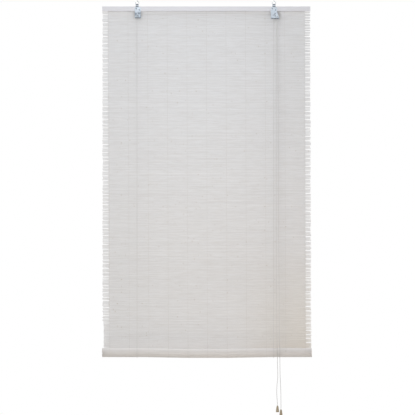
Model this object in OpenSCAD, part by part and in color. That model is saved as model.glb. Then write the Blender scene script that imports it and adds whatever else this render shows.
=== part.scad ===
// Bamboo roll-up blind. A painted head rail hangs on two screw hooks, a mat of split reeds is stapled to its back
// and rolls up at its foot in two cord slings. Two folded zinc-plated fittings carry the pulleys, and the right
// one also holds the cord lock. Two pull cords end in wooden tassels.
// Millimetres. +Z is up, the front faces -Y, and the origin lies on the ceiling midway between the hooks.

/* [Head rail] */
// Width of the rail
rail_w = 900; // [700:10:1200]
// Height of the rail
rail_h = 20; // [17:1:28]
// Depth of the rail, front to back
rail_d = 12; // [10:0.5:18]
// Radius on the long edges of the rail
rail_edge = 1.5; // [0.5:0.1:3]
// Distance from the ceiling down to the top of the rail
rail_drop = 34; // [34:1:60]
// How far the middle of the rail lies to the right of the middle of the hooks
rail_shift = 3; // [-10:0.5:10]

/* [Reed mat] */
// How far the mat stays inside the ends of the rail
mat_margin = 1; // [0:0.5:10]
// Thickness of the mat over its reeds
mat_t = 1.8; // [1.4:0.1:2.4]
// Spacing of the reeds
reed_pitch = 5; // [4:0.25:8]
// Depth of the groove between two reeds, on each face
reed_groove = 0.45; // [0.2:0.05:0.6]
// How far the mat's top edge lies below the top of the rail
mat_inset = 2; // [0:0.5:6]
// Length of the loose reed ends outside the outermost warp threads
fringe = 22; // [12:1:40]
// Gaps between the loose reed ends, on each side
fringe_gaps = 60; // [10:1:60]
// Mean height of such a gap
fringe_gap_h = 4.4; // [1:0.1:5]
// Number of warp lines
warp_lines = 11; // [5:1:15]
// Distance from the root of the loose ends in to the outermost warp line
warp_inset = 3; // [2:0.5:10]
// Width of a warp line
warp_w = 1.6; // [1:0.1:3]
// Thickness of a warp thread on the face of the mat
warp_t = 0.5; // [0.3:0.1:1]

/* [Roll] */
// Radius of the rolled-up foot
roll_r = 21; // [18:0.5:30]
// Distance from the rail's underside down to the roll's centre
roll_drop = 1477; // [900:1:2000]
// Spacing of the roll's turns
turn_pitch = 2.1; // [2:0.05:3]
// Diameter of the wooden rod in the roll
rod_d = 24; // [16:1:28]
// How far the rod stays inside the ends of the roll
rod_inset = 2; // [0:0.5:10]

/* [Fittings] */
// Distance from the ends of the rail in to the fittings and their hooks, as a mean of both sides
fitting_inset = 154; // [100:2:220]
// Thickness of the sheet
sheet_t = 1.2; // [0.8:0.1:1.6]
// Width of a fitting's plate
plate_w = 26; // [24:1:32]
// Width of the strap
strap_w = 12.5; // [10:0.5:16]
// Width of the strap's waist, where it hangs in the hook's ring
neck_w = 9; // [7:0.5:9.5]
// How far the left plate and its housing lie to the right of their hook
plate_shift = 3; // [0:0.5:4]
// Height of the strap's arch above the rail
arch_rise = 10.5; // [9:0.5:14]
// Gap from the rail's underside down to the pulley housing
housing_gap = 4; // [2:0.5:8]
// Height of the pulley housing
housing_h = 30; // [28:1:40]
// How far the right housing flares out at its foot
flare = 10; // [9:0.5:14]
// Length of the rear foot that holds the end of the lift cord
foot_len = 11; // [9:0.5:16]
// Radius of the hole for the lift cord in that foot
foot_hole_r = 1.2; // [1.1:0.05:1.5]

/* [Screws and hooks] */
// Shank radius of the plate screws
screw_r = 1.4; // [1:0.1:2]
// Head radius of the plate screws
screw_head_r = 2.8; // [2.2:0.1:3.5]
// Length of the plate screws in the rail
screw_len = 9; // [5:0.5:9.5]
// Wire radius of the hooks
wire_r = 1.4; // [1.2:0.1:1.6]
// Radius of the hook's ring, to the middle of the wire
ring_r = 7.7; // [7:0.1:8]
// Height from the ring's centre to the start of the hook's bend
bend_h = 11; // [10.5:0.5:13]
// Length of the hook's thread above the ceiling
thread_len = 25; // [15:1:40]
// Radius of the hook's thread
thread_r = 1.75; // [1.6:0.05:2.2]

/* [Pulleys and lock] */
// Outer radius of a pulley
pulley_r = 7.3; // [6.8:0.1:7.4]
// Radius at the bottom of the pulley's groove
groove_r = 5.1; // [4.5:0.1:5.3]
// Width of a pulley
pulley_w = 5; // [4.5:0.1:6]
// Depth of the axles below the top of the housing
axle_drop = 18.2; // [17:0.1:19]
// How far the left axle lies to the right of its hook
left_axle_offset = 6; // [3:0.1:8]
// How far the right axle lies to the right of its hook
right_axle_offset = 4.6; // [3:0.1:4.7]
// Radius of the axle rivets
axle_r = 2; // [1.5:0.1:2.5]
// Head radius of the axle rivets
rivet_head_r = 3.2; // [2.8:0.1:4]
// Radius of the lock's knurled roller
roller_r = 3; // [2.5:0.1:3.2]
// Number of knurls on the roller
knurls = 18; // [12:1:24]
// Radius of the roller's trunnions
trunnion_r = 1.2; // [0.8:0.1:1.5]
// Travel of the roller up its slots
lock_travel = 3.2; // [2:0.1:3.3]

/* [Cords and tassels] */
// Radius of the cords
cord_r = 0.9; // [0.7:0.05:1]
// Radius of the knots
knot_r = 2; // [1.7:0.1:2.5]
// Length of a tassel
tassel_l = 28; // [22:1:40]
// Radius at the foot of a tassel
tassel_r = 7; // [6:0.1:7.3]
// Radius at the top of a tassel
tassel_top_r = 3; // [2.5:0.1:4]

/* [Clearances] */
// Gap between pieces that move past each other
gap = 0.3; // [0.2:0.05:0.4]
// Running clearance of a bore on its pin
run = 0.05; // [0.02:0.01:0.08]

/* [Hidden] */
$fn = 48;

// Widths
mat_w = rail_w - 2 * mat_margin;
fitting_spacing = rail_w - 2 * fitting_inset;

// Heights
rail_top = -rail_drop;
rail_bottom = rail_top - rail_h;
housing_top = rail_bottom - housing_gap;
housing_bottom = housing_top - housing_h;
roll_z = rail_bottom - roll_drop;
foot_z = housing_top;

// Depths: the strap's arch spans the rail and the mat behind it, and the hooks stand on its middle
arch_r = (rail_d + mat_t + gap) / 2;
rail_front = -arch_r;
rail_back = rail_front + rail_d;
mat_y = rail_back + mat_t / 2;
plate_front = rail_front - sheet_t;
rear_plane = plate_front - gap - pulley_w / 2;
front_plane = rear_plane - gap - pulley_w;
left_cheek = rear_plane - pulley_w / 2 - gap;
right_cheek = front_plane - pulley_w / 2 - gap;

// Pulleys: a cord runs round its groove at wrap_r, and hangs straight down from the pulley's side
wrap_r = groove_r + gap + cord_r;
pulley_z = housing_top - axle_drop;
left_x = -fitting_spacing / 2;
left_plate_x = left_x + plate_shift;
right_x = fitting_spacing / 2;
left_pulley_x = left_x + left_axle_offset;
right_pulley_x = right_x + right_axle_offset;
left_lift_x = left_pulley_x - wrap_r;
right_lift_x = right_pulley_x - wrap_r;
pull_x = right_pulley_x + wrap_r;

// Roll: the slings pass round it with a gap, and their front lies under the rear pulley plane
sling_r = roll_r + gap + cord_r;
roll_y = rear_plane + sling_r;
turns = (roll_r - mat_t - rod_d / 2 - gap) / turn_pitch;
reeds_per_turn = round(2 * PI * roll_r / reed_pitch);

// Mat: straight behind the rail, then leaning back until it touches the back of the roll
mat_top = rail_top - mat_inset;
stapled_l = mat_top - rail_bottom;
tangent_y = roll_y + roll_r - mat_t / 2;
lean = atan2(tangent_y - mat_y, roll_drop - gap);
hanging_l = (roll_drop - gap) / cos(lean);
reed_count = round((stapled_l + hanging_l) / reed_pitch);
reed_step = (stapled_l + hanging_l) / reed_count;
warp_span = mat_w - 2 * (fringe + warp_inset);

// Hook and arch: the strap's lower edges lie in the ring
arch_z = rail_top + arch_rise;
ring_z = arch_z + sqrt(pow(ring_r - wire_r - gap, 2) - pow(neck_w / 2, 2));
bend_run = 1;
bend_r = (bend_h * bend_h - ring_r * ring_r - bend_run * bend_run) / (2 * ring_r);
bend_a = atan2(bend_h, bend_r) - atan2(bend_run, ring_r + bend_r);
ring_sweep = 277;

// Lift cord's end behind the rail
anchor_y = arch_r + foot_len / 2;

// Strap and plate: the waist reaches down the arch, and rounded shoulders lead from the strap out to the plate
waist_h = 3.5;
shoulder_drop = 2;
shoulder_h = 6;

// Foot of the housings: the left one is shorter, and the cheeks end above the back walls
left_trim = 2.5;
left_cheek_rise = 7;
right_cheek_rise = 4;

// Lock: the slots lie along the flared wall
corner = 2;
wall_a = atan2(flare, housing_h - corner);
roller_share = 0.8;
roller_x = right_x + plate_w / 2 + flare * roller_share - (sheet_t + roller_r + 1.5 * gap) / cos(wall_a);
roller_z = housing_top - (housing_h - corner) * roller_share;

// Plate screws, from the plate's centre and the rail's top
screw_at = [[-6.5, -rail_h * 0.475], [6.5, -rail_h * 0.75]];
staples = 11;
staple_margin = 49;
staple_pitch = (mat_w - 2 * staple_margin) / (staples - 1);
staple_crown = 10;
staple_wire = 0.7;
staple_leg = 6;

// Routes of the pull cords, from the pulley's side down to the tassel: round numbers chosen by eye
left_route = [
    [0, 0, 0], [0, 0, -15], [-0.3, 0, -60], [-0.8, 0, -160], [-1.2, 0, -300], [-1.4, 0, -480], [-1.4, 0, -660],
    [-1.2, 0, -840], [-0.8, 0, -1020], [-0.2, 0, -1180], [0.8, 0, -1320], [2.4, 0, -1430], [4, 0, -1500],
    [5.2, 0, -1545], [4.6, 0, -1572], [2, 0, -1594], [0.8, 0, -1616], [1.2, 0, -1640], [2.8, 0, -1662],
    [4, 0, -1684]
];
right_route = [
    [0, 0, 0], [0, 0, -15], [1.2, 0, -60], [3.6, 0, -140], [5.6, 0, -240], [6.8, 0, -360], [7.4, 0, -500],
    [7.8, 0, -660], [8.4, 0, -820], [9.2, 0, -980], [10.4, 0, -1130], [11.8, 0, -1270], [13.2, 0, -1390],
    [14.2, 0, -1470], [14.8, 0, -1530], [15.8, 0, -1565], [17.2, 0, -1590], [18.2, 0, -1620],
    [18.8, 0, -1660], [19, 0, -1700]
];
left_exit = [pull_x, rear_plane, pulley_z];
right_exit = [pull_x, front_plane, pulley_z];
left_tassel_at = left_exit + left_route[len(left_route) - 1];
right_tassel_at = right_exit + right_route[len(right_route) - 1];

// Colours
paint_white = [0.88, 0.88, 0.89];
reed_white = [0.85, 0.84, 0.82];
thread_white = [0.82, 0.81, 0.79];
zinc = [0.74, 0.79, 0.83];
steel = [0.6, 0.62, 0.64];
nylon = [0.3, 0.31, 0.33];
cord_white = [0.9, 0.9, 0.9];
wood = [0.72, 0.6, 0.47];

// Helpers

// A shape drawn in front view, X and Z, standing between two depths
module front_plate(y0, y1)
    translate([0, y1, 0]) rotate([90, 0, 0]) linear_extrude(y1 - y0) children();

// A shape drawn in side view, Y and Z, standing between two places along the rail
module side_slab(x0, x1)
    translate([x0, 0, 0]) rotate([90, 0, 90]) linear_extrude(x1 - x0) children();

// A round bar along Y
module bar_y(x, z, y0, y1, r)
    translate([x, y1, z]) rotate([90, 0, 0]) cylinder(h = y1 - y0, r = r);

// A wire arc in front view
module wire_arc(centre, y, r, thick, from, sweep)
    translate([centre[0], y, centre[1]]) rotate([90, 0, 0]) rotate([0, 0, from])
        rotate_extrude(angle = sweep) translate([r, 0]) circle(thick);

// A straight cord between two points that share their X
module straight_cord(x, y0, z0, y1, z1)
    translate([x, y0, z0]) rotate([-atan2(y1 - y0, z1 - z0), 0, 0])
        cylinder(h = norm([y1 - y0, z1 - z0]), r = cord_r);

// A round tube along a hanging route, with level rings
function tube_points(start, route, sides) = [
    for (p = route, k = [0:sides - 1])
        start + p + cord_r * [cos(360 * k / sides), sin(360 * k / sides), 0]
];
function tube_faces(rings, sides) = concat(
    [[for (k = [0:sides - 1]) k]],
    [for (i = [0:rings - 2], k = [0:sides - 1])
        [i * sides + k, (i + 1) * sides + k, (i + 1) * sides + (k + 1) % sides, i * sides + (k + 1) % sides]],
    [[for (k = [sides - 1:-1:0]) (rings - 1) * sides + k]]
);
module hanging_cord(start, route) {
    sides = 8;
    color(cord_white) polyhedron(tube_points(start, route, sides), tube_faces(len(route), sides));
}

// Rail and mat

module rail_section() {
    translate([rail_front, rail_bottom + rail_edge]) square([rail_d, rail_h - 2 * rail_edge]);
    translate([rail_front + rail_edge, rail_bottom]) square([rail_d - 2 * rail_edge, rail_h]);
    for (y = [rail_front + rail_edge, rail_back - rail_edge], z = [rail_bottom + rail_edge, rail_top - rail_edge])
        translate([y, z]) circle(rail_edge);
}

module head_rail() color(paint_white) difference() {
    side_slab(rail_shift - rail_w / 2, rail_shift + rail_w / 2) rail_section();
    for (x = [left_plate_x, right_x], s = screw_at)
        bar_y(x + s[0], rail_top + s[1], rail_front - 1, rail_front + screw_len + gap, screw_r + run);
}

// Middle of the mat, a length s from its top edge
function mat_line(s) = s <= stapled_l
    ? [mat_y, mat_top - s]
    : [mat_y + (s - stapled_l) * sin(lean), rail_bottom - (s - stapled_l) * cos(lean)];
function mat_crest(i, share, face) = mat_line((i + share) * reed_step) + [face * mat_t / 2, 0];
function mat_groove(i, face) = mat_line(i * reed_step) + [face * (mat_t / 2 - reed_groove), 0];
function mat_face(face) = [
    for (i = [0:reed_count]) each (i < reed_count)
        ? [mat_groove(i, face), mat_crest(i, 0.25, face), mat_crest(i, 0.75, face)]
        : [mat_groove(i, face)]
];
function reversed(list) = [for (i = [len(list) - 1:-1:0]) list[i]];

// An even spread of values from -1 to 1 that looks irregular
function irregular(i) = sin(i * 137.5) * 0.6 + sin(i * 71.3) * 0.4;

module reed_mat() color(reed_white) difference() {
    side_slab(rail_shift - mat_w / 2, rail_shift + mat_w / 2)
        polygon(concat(mat_face(-1), reversed(mat_face(1))));
    first = ceil((stapled_l + housing_gap) / reed_step);
    last = reed_count - ceil(roll_r / reed_step) - 2;
    for (side = [-1, 1], i = [0:fringe_gaps - 1]) {
        reed = first + floor((last - first) * (i + 0.5 + 0.2 * irregular(i + side)) / fringe_gaps);
        middle = mat_line(reed * reed_step);
        h = fringe_gap_h * (1 + 0.3 * irregular(i + 7 * side));
        deep = fringe * (0.85 + 0.15 * irregular(3 * i + side));
        translate([rail_shift + side * (mat_w / 2 - deep / 2 + 1), middle[0], middle[1]])
            cube([deep + 2, 3 * mat_t, h], center = true);
    }
}

module warp_threads() color(thread_white)
    for (i = [0:warp_lines - 1], face = [-1, 1])
        translate([rail_shift + warp_span * (i / (warp_lines - 1) - 0.5), mat_y, rail_bottom]) rotate([lean, 0, 0])
            translate([-warp_w / 2, face > 0 ? mat_t / 2 : -mat_t / 2 - warp_t, roll_r - hanging_l])
                cube([warp_w, warp_t, hanging_l - roll_r - housing_gap]);

module mat_staples() color(steel)
    for (i = [0:staples - 1])
        translate([
            rail_shift + (i - (staples - 1) / 2) * staple_pitch - staple_crown / 2, rail_back + mat_t,
            rail_bottom + rail_h * 0.45
        ]) {
            cube([staple_crown, staple_wire, staple_wire]);
            for (leg = [0, staple_crown - staple_wire])
                translate([leg, -staple_leg, 0]) cube([staple_wire, staple_leg, staple_wire]);
        }

// Fittings

// The strap's arch over the rail and the mat, in side view
module arch_section() difference() {
    translate([0, arch_z - arch_r]) circle(arch_r + sheet_t);
    translate([0, arch_z - arch_r]) circle(arch_r);
    translate([-2 * arch_r, arch_z - 3 * arch_r]) square([4 * arch_r, 2 * arch_r]);
}

// One edge of the plate, from the strap out over a shoulder and down: side is -1 for the left edge
function plate_edge(side, shift) =
    let (out = plate_w / 2 + side * shift - strap_w / 2)
    concat(
        [[side * strap_w / 2, arch_z - arch_r]],
        [for (a = [90:-22.5:0])
            [side * (strap_w / 2 + out * cos(a)), rail_top - shoulder_drop - shoulder_h * (1 - sin(a))]],
        [[side * plate_w / 2 + shift, housing_top]]
    );

// The plate in front of the rail, from the strap down to the top of the housing
module plate_face(shift) polygon(concat(plate_edge(1, shift), reversed(plate_edge(-1, shift))));

// Outline of the housing in front view, with cut corners at its foot: the right edge slants out
module housing_face(slant, foot) polygon([
    [-plate_w / 2, housing_top], [plate_w / 2, housing_top], [plate_w / 2 + slant, foot + corner],
    [plate_w / 2 + slant - corner, foot], [-plate_w / 2 + corner, foot], [-plate_w / 2, foot + corner]
]);

// A sheet folded round the pulleys: the space between its back wall and its cheek stays open below, above and
// on one side
module housing(slant, cheek, foot) difference() {
    front_plate(cheek - sheet_t, rail_front) housing_face(slant, foot);
    front_plate(cheek, plate_front) children();
}

// Neck, plate, rear leg and foot, which both fittings share
module hanger(lift_x, shift) difference() {
    union() {
        side_slab(-strap_w / 2, strap_w / 2) arch_section();
        front_plate(plate_front, rail_front) plate_face(shift);
        front_plate(arch_r, arch_r + sheet_t) translate([-strap_w / 2, foot_z])
            square([strap_w, arch_z - arch_r - foot_z]);
        translate([-strap_w / 2, arch_r, foot_z - sheet_t]) cube([strap_w, foot_len, sheet_t]);
    }
    for (x = [-neck_w / 2 - strap_w, neck_w / 2])
        translate([x, -2 * arch_r, arch_z - waist_h]) cube([strap_w, 4 * arch_r, 2 * arch_r]);
    for (s = screw_at) bar_y(shift + s[0], rail_top + s[1], plate_front - 1, rail_front + 1, screw_r + run);
    translate([lift_x, anchor_y, foot_z - 2 * sheet_t]) cylinder(h = 3 * sheet_t, r = foot_hole_r);
}

// A straight slot for the roller's trunnion, in front view
module trunnion_slot() {
    travel = lock_travel * [-sin(wall_a), cos(wall_a)];
    start = [roller_x - right_x, roller_z];
    slot_r = trunnion_r + gap / 2;
    for (p = [start, start + travel]) translate(p) circle(slot_r);
    translate(start) rotate(wall_a) translate([-slot_r, 0]) square([2 * slot_r, lock_travel]);
}

// Windows pressed through the left cheek, from the middle of its top edge: they leave a strut that slants down past
// the pulley and one that branches off it
module left_windows() translate([0, housing_top]) {
    polygon([[-11.3, -3], [-6.7, -3], [-4.2, -6.8], [-4.6, -9.5], [-8, -16], [-11.3, -16]]);
    polygon([[-2.6, -3], [9.2, -3], [9.2, -11], [2.9, -11]]);
    polygon([[-1.6, -11.2], [-0.9, -14.5], [-1.2, -19.8], [-6.2, -19.8], [-3.9, -14.8]]);
}

// A slanted window in the right cheek, above the pulley
module right_window() translate([0, housing_top]) {
    polygon([[-6, -15], [3.6, -6.6], [7, -6.6], [7, -8.6], [-3.2, -16.6], [-6, -16.6]]);
}

module left_bracket() color(zinc) translate([left_x, 0, 0]) difference() {
    cheek_trim = 2;
    union() {
        hanger(left_lift_x - left_x, plate_shift);
        translate([plate_shift, 0, 0]) housing(0, left_cheek, housing_bottom + left_trim)
            translate([sheet_t - plate_w / 2, housing_bottom - 1]) square([plate_w, housing_h + 2]);
    }
    translate([plate_shift, 0, 0]) {
        front_plate(left_cheek - 2 * sheet_t, plate_front)
            translate([plate_w / 2 - cheek_trim, housing_bottom - 1]) square([plate_w, housing_h + 2]);
        front_plate(left_cheek - 2 * sheet_t, left_cheek + gap) {
            left_windows();
            translate([-plate_w, housing_bottom - 1]) square([2 * plate_w, left_cheek_rise + 1]);
        }
    }
    bar_y(left_pulley_x - left_x, pulley_z, left_cheek - 2 * sheet_t, rail_front + 1, axle_r + run);
}

module right_bracket() color(zinc) translate([right_x, 0, 0]) difference() {
    wall_x = plate_w / 2 - sheet_t / cos(wall_a);
    union() {
        hanger(right_lift_x - right_x, 0);
        housing(flare, right_cheek, housing_bottom) polygon([
            [-plate_w, housing_top + housing_h], [wall_x - housing_h * tan(wall_a), housing_top + housing_h],
            [wall_x + 2 * housing_h * tan(wall_a), housing_top - 2 * housing_h],
            [-plate_w, housing_top - 2 * housing_h]
        ]);
    }
    bar_y(right_pulley_x - right_x, pulley_z, right_cheek - 2 * sheet_t, rail_front + 1, axle_r + run);
    front_plate(right_cheek - 2 * sheet_t, rail_front + 1) trunnion_slot();
    front_plate(right_cheek - 2 * sheet_t, right_cheek + gap) {
        right_window();
        translate([-plate_w, housing_bottom - 1]) square([3 * plate_w, right_cheek_rise + 1]);
    }
}

module bracket_screws() color(steel)
    for (x = [left_plate_x, right_x], s = screw_at) {
        bar_y(x + s[0], rail_top + s[1], plate_front, rail_front + screw_len, screw_r);
        translate([x + s[0], plate_front, rail_top + s[1]]) rotate([90, 0, 0]) {
            cylinder(h = 0.8, r = screw_head_r);
            translate([0, 0, 0.8]) cylinder(h = 0.6, r1 = screw_head_r, r2 = screw_head_r * 0.7);
        }
    }

// A rivet through the housing, with a head on each outer face
module axle(x, cheek) color(steel) {
    head_t = 1;
    bar_y(x, pulley_z, cheek - sheet_t, rail_front, axle_r);
    bar_y(x, pulley_z, cheek - sheet_t - head_t, cheek - sheet_t, rivet_head_r);
    bar_y(x, pulley_z, rail_front, rail_front + head_t, rivet_head_r);
}
module left_axle() axle(left_pulley_x, left_cheek);
module right_axle() axle(right_pulley_x, right_cheek);

// A straight end of wire in front view, leaving the ring at an angle and turned a quarter from it. It reaches a
// little way back into the ring
module wire_run(angle, turn, length, r1, r2)
    translate([ring_r * cos(angle), 0, ring_z + ring_r * sin(angle)]) rotate([0, turn - angle, 0])
        translate([0, 0, -gap]) cylinder(h = length + gap, r1 = r1, r2 = r2);

// Screw hook: a threaded shank, a bend, and a ring from the bend round to a free end with a blunt tip. The straight
// runs are a hair thicker than the bends they join
module hook(x) color(steel) translate([x, 0, 0]) {
    cylinder(h = thread_len - 2 * thread_r, r = thread_r);
    translate([0, 0, thread_len - 2 * thread_r]) cylinder(h = 2 * thread_r, r1 = thread_r, r2 = thread_r / 5);
    translate([0, 0, ring_z + bend_h - gap]) cylinder(h = gap - ring_z - bend_h, r = wire_r + run);
    wire_arc([bend_r, ring_z + bend_h], 0, bend_r, wire_r, 180, bend_a);
    wire_run(bend_a, 0, bend_run + gap, wire_r + run, wire_r + run);
    wire_arc([0, ring_z], 0, ring_r, wire_r, bend_a - ring_sweep, ring_sweep);
    wire_run(bend_a - ring_sweep, 180, wire_r / 2, wire_r - run, wire_r * 0.6);
}
module left_hook() hook(left_x);
module right_hook() hook(right_x);

// A grooved wheel with a bore that runs on the rivet
module pulley(x, plane) color(nylon) translate([x, plane, pulley_z]) rotate([90, 0, 0])
    rotate_extrude() polygon([
        [axle_r + run, -pulley_w / 2], [pulley_r, -pulley_w / 2], [pulley_r, -cord_r - 2 * gap - 0.2],
        [groove_r, -cord_r - gap], [groove_r, cord_r + gap], [pulley_r, cord_r + 2 * gap + 0.2],
        [pulley_r, pulley_w / 2], [axle_r + run, pulley_w / 2]
    ]);
module left_pulley() pulley(left_pulley_x, rear_plane);
module right_pulley_rear() pulley(right_pulley_x, rear_plane);
module right_pulley_front() pulley(right_pulley_x, front_plane);

// The knurled roller between the walls of the lock, with a trunnion in each slot
module lock_roller() color(steel) {
    front_plate(right_cheek + gap, plate_front - gap) translate([roller_x, roller_z])
        polygon([for (k = [0:2 * knurls - 1]) (k % 2 == 0 ? roller_r : roller_r - 0.3)
            * [cos(180 * k / knurls), sin(180 * k / knurls)]]);
    bar_y(roller_x, roller_z, right_cheek - sheet_t - gap, rail_front + gap, trunnion_r);
}

// Lift cords: one round each end of the roll

module front_cord(x, plane) color(cord_white)
    straight_cord(x, rear_plane, roll_z + run, plane, pulley_z - run);
module back_cord(x) color(cord_white)
    straight_cord(x, roll_y + sling_r, roll_z + run, anchor_y, foot_z - sheet_t / 2);
module cord_sling(x) color(cord_white)
    translate([x, roll_y, roll_z]) rotate([90, 0, 90]) rotate([0, 0, 180])
        rotate_extrude(angle = 180) translate([sling_r, 0]) circle(cord_r);
module anchor_knot(x) color(cord_white)
    translate([x, anchor_y, foot_z + sqrt(knot_r * knot_r - foot_hole_r * foot_hole_r)]) sphere(knot_r);

module left_front_cord() front_cord(left_lift_x, rear_plane);
module right_front_cord() front_cord(right_lift_x, front_plane);
module left_back_cord() back_cord(left_lift_x);
module right_back_cord() back_cord(right_lift_x);
module left_cord_sling() cord_sling(left_lift_x);
module right_cord_sling() cord_sling(right_lift_x);
module left_anchor_knot() anchor_knot(left_lift_x);
module right_anchor_knot() anchor_knot(right_lift_x);

// The left cord over its pulley, along the front of the mat, and over the right rear pulley
module crossing_cord() color(cord_white) {
    wire_arc([left_pulley_x, pulley_z], rear_plane, wrap_r, cord_r, 90, 90);
    translate([left_pulley_x, rear_plane, pulley_z + wrap_r]) rotate([0, 90, 0])
        cylinder(h = right_pulley_x - left_pulley_x, r = cord_r);
    wire_arc([right_pulley_x, pulley_z], rear_plane, wrap_r, cord_r, 0, 90);
}
module right_cord_turn() color(cord_white)
    wire_arc([right_pulley_x, pulley_z], front_plane, wrap_r, cord_r, 0, 180);

// Pull cords and tassels

module left_pull_cord() hanging_cord(left_exit, left_route);
module right_pull_cord() hanging_cord(right_exit, right_route);

// A turned cone with a bore for the cord and a hollow for its knot
module tassel(at) color(wood) translate(at) rotate_extrude() polygon([
    [cord_r + gap, 0], [0.8 * tassel_top_r, 0], [tassel_top_r, -0.036 * tassel_l],
    [0.94 * tassel_r, -0.82 * tassel_l], [tassel_r, -0.89 * tassel_l], [0.97 * tassel_r, -0.95 * tassel_l],
    [0.83 * tassel_r, -tassel_l],
    [knot_r + 2 * gap, -tassel_l], [knot_r + 2 * gap, -tassel_l + 3 * knot_r], [cord_r + gap, -tassel_l + 3 * knot_r]
]);
// The knot in the tassel's hollow, with the cord's end through the bore
module tassel_knot(at) color(cord_white) translate(at) {
    knot_z = -tassel_l + 2 * knot_r - gap;
    translate([0, 0, knot_z]) sphere(knot_r);
    translate([0, 0, knot_z]) cylinder(h = -knot_z, r = cord_r);
}
module left_tassel() tassel(left_tassel_at);
module right_tassel() tassel(right_tassel_at);
module left_tassel_knot() tassel_knot(left_tassel_at);
module right_tassel_knot() tassel_knot(right_tassel_at);

// Roll

// A point of the wound mat, turned by a from the back of the roll, at a height above the middle of the mat
function wound(a, above) = (roll_r - mat_t / 2 - turn_pitch * a / 360 + above) * [cos(a), -sin(a)];
function wound_face(face) = [
    for (i = [0:floor(turns * reeds_per_turn)])
        let (a = 360 / reeds_per_turn)
        each [
            wound(i * a, face * (mat_t / 2 - reed_groove)),
            wound((i + 0.25) * a, face * mat_t / 2),
            wound((i + 0.75) * a, face * mat_t / 2)
        ]
];

module mat_roll() color(reed_white) side_slab(rail_shift - mat_w / 2, rail_shift + mat_w / 2)
    translate([roll_y, roll_z]) polygon(concat(wound_face(1), reversed(wound_face(-1))));

module bottom_rod() color(wood) translate([rail_shift - mat_w / 2 + rod_inset, roll_y, roll_z]) rotate([0, 90, 0])
    cylinder(h = mat_w - 2 * rod_inset, r = rod_d / 2);

head_rail();
reed_mat();
warp_threads();
mat_staples();
left_bracket();
right_bracket();
bracket_screws();
left_axle();
right_axle();
left_hook();
right_hook();
left_pulley();
right_pulley_rear();
right_pulley_front();
lock_roller();
left_front_cord();
left_back_cord();
left_cord_sling();
left_anchor_knot();
crossing_cord();
right_front_cord();
right_back_cord();
right_cord_sling();
right_anchor_knot();
right_cord_turn();
left_pull_cord();
right_pull_cord();
left_tassel();
left_tassel_knot();
right_tassel();
right_tassel_knot();
mat_roll();
bottom_rod();
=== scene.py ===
# %% [markdown]
# # A bamboo roll-up blind
# The solids of the blind are already packed, each in its place. This lesson dresses them: the reeds of the
# mat, the twisted cords, the turned tassels, and a finish for every piece. Everything is in metres, with Z
# up and the front of the blind facing -Y, so a new piece can take its place straight from the packed
# solids.

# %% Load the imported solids
import math

import bpy
import numpy as np
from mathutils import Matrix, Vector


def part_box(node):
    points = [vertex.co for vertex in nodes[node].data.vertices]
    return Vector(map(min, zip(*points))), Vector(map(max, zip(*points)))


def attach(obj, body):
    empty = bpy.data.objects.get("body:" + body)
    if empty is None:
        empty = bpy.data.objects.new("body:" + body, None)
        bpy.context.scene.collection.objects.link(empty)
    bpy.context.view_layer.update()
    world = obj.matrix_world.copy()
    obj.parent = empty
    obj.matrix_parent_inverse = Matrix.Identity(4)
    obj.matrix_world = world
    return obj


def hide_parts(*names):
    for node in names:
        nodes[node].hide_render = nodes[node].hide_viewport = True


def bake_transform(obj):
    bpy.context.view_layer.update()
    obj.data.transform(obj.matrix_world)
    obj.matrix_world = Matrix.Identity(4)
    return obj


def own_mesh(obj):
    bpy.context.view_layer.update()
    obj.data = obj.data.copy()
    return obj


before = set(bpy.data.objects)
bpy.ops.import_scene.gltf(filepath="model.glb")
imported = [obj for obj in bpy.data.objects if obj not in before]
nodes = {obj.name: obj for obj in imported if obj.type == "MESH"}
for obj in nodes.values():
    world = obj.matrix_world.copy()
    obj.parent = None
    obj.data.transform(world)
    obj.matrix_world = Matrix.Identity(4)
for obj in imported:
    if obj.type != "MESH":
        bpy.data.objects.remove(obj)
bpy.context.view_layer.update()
MM = 0.001
print("packed solids:", len(nodes), "nodes")

# %% [markdown]
# ## The camera
# The blind was photographed straight from the front with a long lens, so nothing narrows with distance. One
# pixel is 4.327 mm on the blind, which fixes the height of the view. A camera that stands far off with a
# long lens gives the same flat view. It could also be orthographic, but then the other views would lose
# their depth.

# %% Camera
MM_PER_PIXEL = 4.327
PHOTO_PIXELS = 415
VIEW_CENTRE = (8.4 * MM, -903.5 * MM)
CAMERA_DISTANCE = 12.0
SENSOR = 36.0


def deselect():
    """Nothing stays selected, so that the next operator acts on its own piece alone."""
    bpy.ops.object.select_all(action="DESELECT")


deselect()
bpy.ops.object.camera_add(
    location=(VIEW_CENTRE[0], -CAMERA_DISTANCE, VIEW_CENTRE[1]), rotation=(math.radians(90), 0, 0)
)
camera = bpy.context.object
camera.data.sensor_width = SENSOR
camera.data.lens = SENSOR * CAMERA_DISTANCE / (PHOTO_PIXELS * MM_PER_PIXEL * MM)
camera.data.clip_end = 100
bpy.context.scene.camera = camera
print("lens of", round(camera.data.lens), "mm")

# %% [markdown]
# ## Two helpers for every finish
# Colours are written as sRGB hex values, as a paint chart gives them, and Blender's shaders want linear
# light. Every finish is a small tree of nodes, so one function adds a node, sets it and links it. In a Mix
# node for colours, socket 0 is the share, 6 and 7 are the two colours, and output 2 is the result.

# %% Helpers for finishes


def linear(hex_colour):
    """An sRGB hex colour as linear light, with full alpha."""
    parts = [int(hex_colour[i:i + 2], 16) / 255 for i in (1, 3, 5)]
    return tuple(c / 12.92 if c <= 0.04045 else ((c + 0.055) / 1.055) ** 2.4 for c in parts) + (1.0,)


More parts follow.
